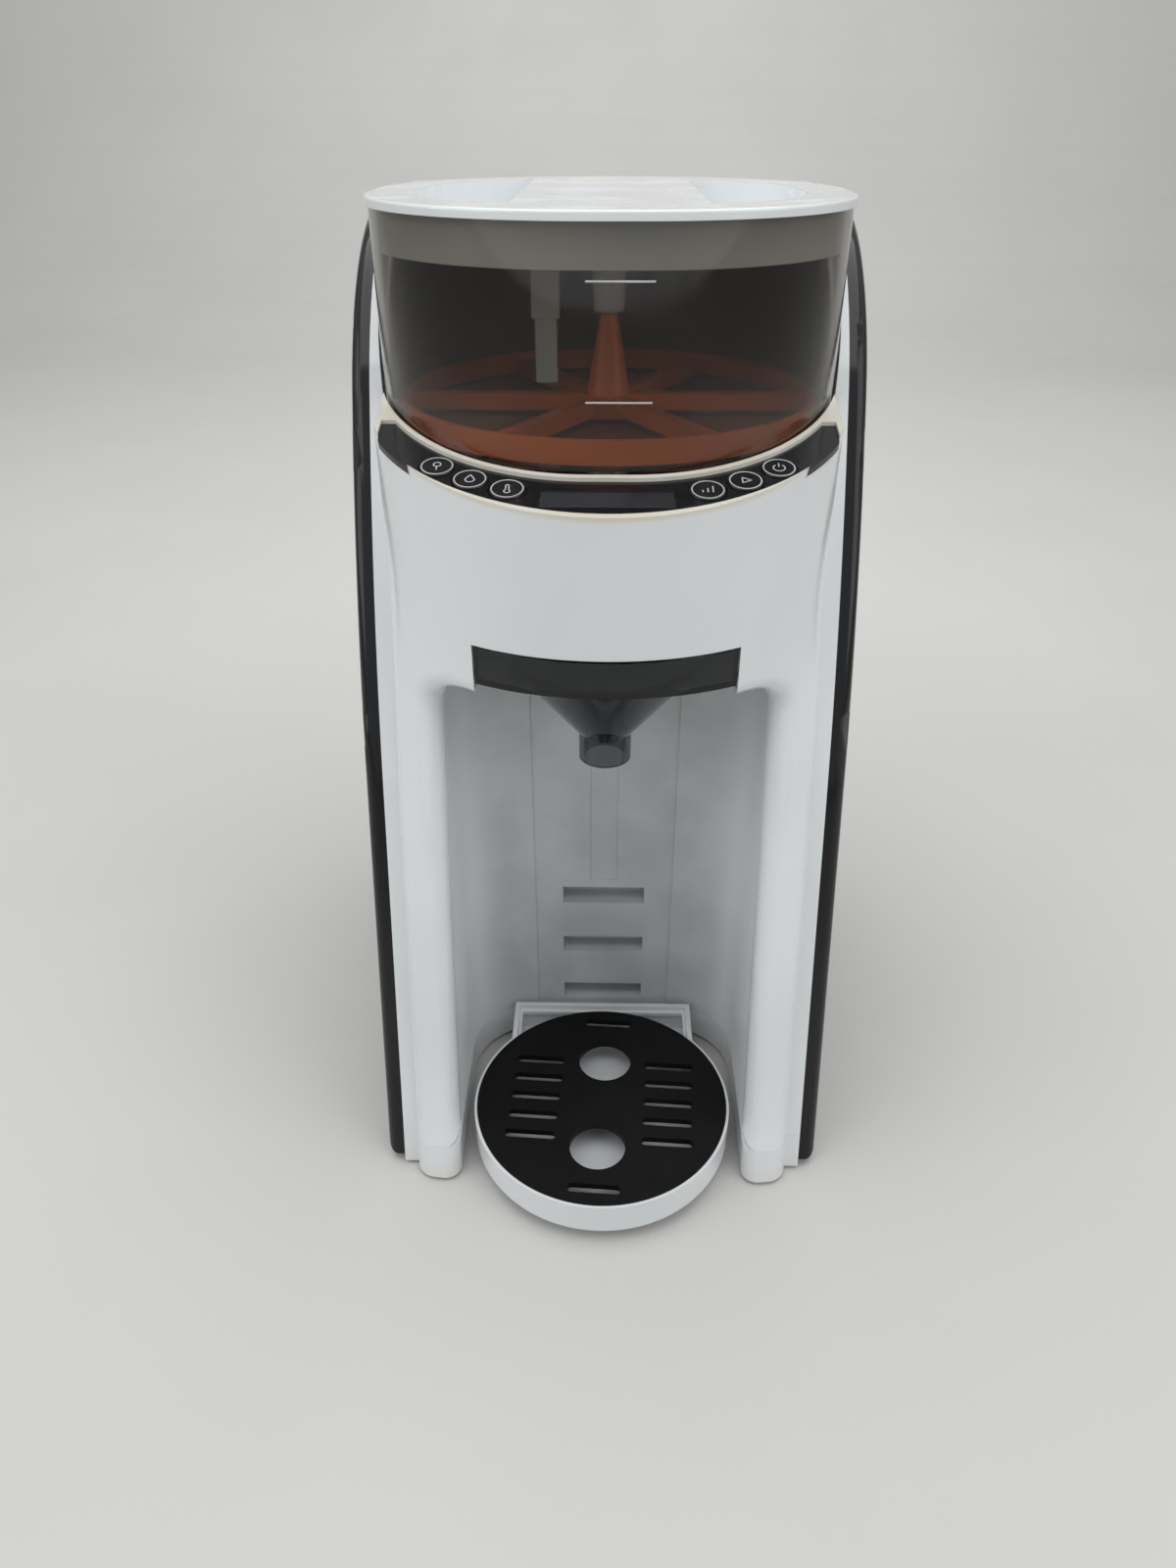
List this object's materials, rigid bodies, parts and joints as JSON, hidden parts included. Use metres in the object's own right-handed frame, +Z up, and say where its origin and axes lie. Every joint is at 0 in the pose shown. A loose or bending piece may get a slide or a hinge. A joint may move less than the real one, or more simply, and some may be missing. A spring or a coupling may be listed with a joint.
{
  "type": "baby formula maker",
  "caption": "Countertop machine that doses powder from a lidded container and warm water through a pull-out funnel into a bottle standing on a drip tray.",
  "frame": {"origin": "centre of the footprint, on the table the rubber feet stand on", "axes": "+Z up, front towards -Y, +X to the right as seen from the front"},
  "size_m": [0.185, 0.331, 0.3665],
  "materials": {
    "white_shell": "glossy white plastic",
    "cream_shell": "white plastic, slightly yellowed",
    "black_panel": "glossy black plastic",
    "black_face": "polished black overlay",
    "display_pane": "tinted clear pane",
    "smoke_clear": "smoked clear plastic",
    "smoke_funnel": "blue-grey smoked plastic",
    "orange_wheel": "orange plastic",
    "bay_plastic": "satin white plastic",
    "tray_white": "glossy white plastic",
    "grid_black": "matt black plastic",
    "tank_clear": "clear tinted plastic",
    "grey_plastic": "satin grey plastic",
    "button_black": "glossy black plastic with a pale ring",
    "board_green": "circuit board",
    "motor_steel": "plain steel",
    "hinge_steel": "polished steel pin",
    "heater_steel": "plain steel",
    "feet_rubber": "matt rubber",
    "seal_rubber": "silicone rubber",
    "hose_rubber": "milky silicone hose",
    "inlet_black": "matt black plastic"
  },
  "bodies": {
    "machine": {"front_shell": "white_shell", "main_body": "cream_shell", "side_panel_right": "black_panel", "side_panel_left": "black_panel", "lower_base": "white_shell", "bay_liner": "bay_plastic", "rear_cover": "white_shell", "control_overlay": "black_face", "display_window": "display_pane", "control_board": "board_green", "container_deck": "grey_plastic", "deck_bearing": "grey_plastic", "gear_motor": "motor_steel", "motor_bracket": "grey_plastic", "powder_chute": "grey_plastic", "tank_socket": "grey_plastic", "socket_seal": "seal_rubber", "power_inlet": "inlet_black", "rubber_feet": "feet_rubber", "base_screws": "motor_steel", "heater": "heater_steel", "pump": "inlet_black", "pump_hose": "hose_rubber", "heater_hose": "hose_rubber", "water_spout": "grey_plastic", "spout_hose": "hose_rubber", "power_board": "board_green"},
    "container": {"powder_container": "smoke_clear"},
    "lid": {"powder_lid": "white_shell", "lid_collar": "smoke_clear"},
    "wheel": {"stirring_wheel": "orange_wheel"},
    "gear": {"drive_gear": "grey_plastic"},
    "pinion": {"pinion": "grey_plastic"},
    "funnel": {"funnel_drawer": "smoke_funnel"},
    "tray": {"drip_tray": "tray_white"},
    "grid": {"tray_grid": "grid_black"},
    "tank": {"water_tank": "tank_clear", "tank_hinge_pins": "hinge_steel", "valve_cage": "grey_plastic", "valve_spring": "hinge_steel"},
    "tank_lid": {"tank_lid": "white_shell"},
    "valve": {"tank_valve": "grey_plastic"},
    "start_button": {"start_button": "button_black"},
    "volume_button": {"volume_button": "button_black"},
    "power_button": {"power_button": "button_black"},
    "temperature_button": {"temperature_button": "button_black"},
    "water_button": {"water_button": "button_black"},
    "powder_button": {"powder_button": "button_black"}
  },
  "joints": [
    {"name": "container_lift", "type": "slide", "parent": "machine", "child": "container", "axis": [0, 0, 1], "range_m": [0, 0.09]},
    {"name": "lid_lift", "type": "slide", "parent": "container", "child": "lid", "axis": [0, 0, 1], "range_m": [0, 0.075]},
    {"name": "wheel_spin", "type": "hinge", "parent": "container", "child": "wheel", "pos_m": [0, -0.014, 0.295], "axis": [0, 0, 1], "continuous": true},
    {"name": "gear_spin", "type": "hinge", "parent": "machine", "child": "gear", "pos_m": [0, -0.014, 0.271], "axis": [0, 0, 1], "continuous": true},
    {"name": "pinion_spin", "type": "hinge", "parent": "machine", "child": "pinion", "pos_m": [0, 0.0235, 0.271], "axis": [0, 0, 1], "continuous": true},
    {"name": "funnel_slide", "type": "slide", "parent": "machine", "child": "funnel", "axis": [0, -1, 0], "range_m": [0, 0.125]},
    {"name": "tray_slide", "type": "slide", "parent": "machine", "child": "tray", "axis": [0, -1, 0], "range_m": [0, 0.12]},
    {"name": "grid_lift", "type": "slide", "parent": "tray", "child": "grid", "axis": [0, 0, 1], "range_m": [0, 0.03]},
    {"name": "tank_lift", "type": "slide", "parent": "machine", "child": "tank", "axis": [0, 0, 1], "range_m": [0, 0.25]},
    {"name": "tank_lid_hinge", "type": "hinge", "parent": "tank", "child": "tank_lid", "pos_m": [0, 0.1, 0.359], "axis": [1, 0, 0], "range_deg": [0, 70]},
    {"name": "valve_lift", "type": "slide", "parent": "tank", "child": "valve", "axis": [0, 0, 1], "range_m": [0, 0.0025], "stiffness_N_per_m": 150, "springref_m": -0.005, "deforming": ["valve_spring"]},
    {"name": "start_button_press", "type": "slide", "parent": "machine", "child": "start_button", "axis": [0, 0.2425, -0.9701], "range_m": [0, 0.0006], "stiffness_N_per_m": 400, "springref_m": -0.0006},
    {"name": "volume_button_press", "type": "slide", "parent": "machine", "child": "volume_button", "axis": [0, 0.2425, -0.9701], "range_m": [0, 0.0006], "stiffness_N_per_m": 400, "springref_m": -0.0006},
    {"name": "power_button_press", "type": "slide", "parent": "machine", "child": "power_button", "axis": [0, 0.2425, -0.9701], "range_m": [0, 0.0006], "stiffness_N_per_m": 400, "springref_m": -0.0006},
    {"name": "temperature_button_press", "type": "slide", "parent": "machine", "child": "temperature_button", "axis": [0, 0.2425, -0.9701], "range_m": [0, 0.0006], "stiffness_N_per_m": 400, "springref_m": -0.0006},
    {"name": "water_button_press", "type": "slide", "parent": "machine", "child": "water_button", "axis": [0, 0.2425, -0.9701], "range_m": [0, 0.0006], "stiffness_N_per_m": 400, "springref_m": -0.0006},
    {"name": "powder_button_press", "type": "slide", "parent": "machine", "child": "powder_button", "axis": [0, 0.2425, -0.9701], "range_m": [0, 0.0006], "stiffness_N_per_m": 400, "springref_m": -0.0006}
  ],
  "couplings": [
    {"joint": "gear_spin", "follows": "wheel_spin", "ratio": 1},
    {"joint": "pinion_spin", "follows": "wheel_spin", "ratio": -4}
  ]
}
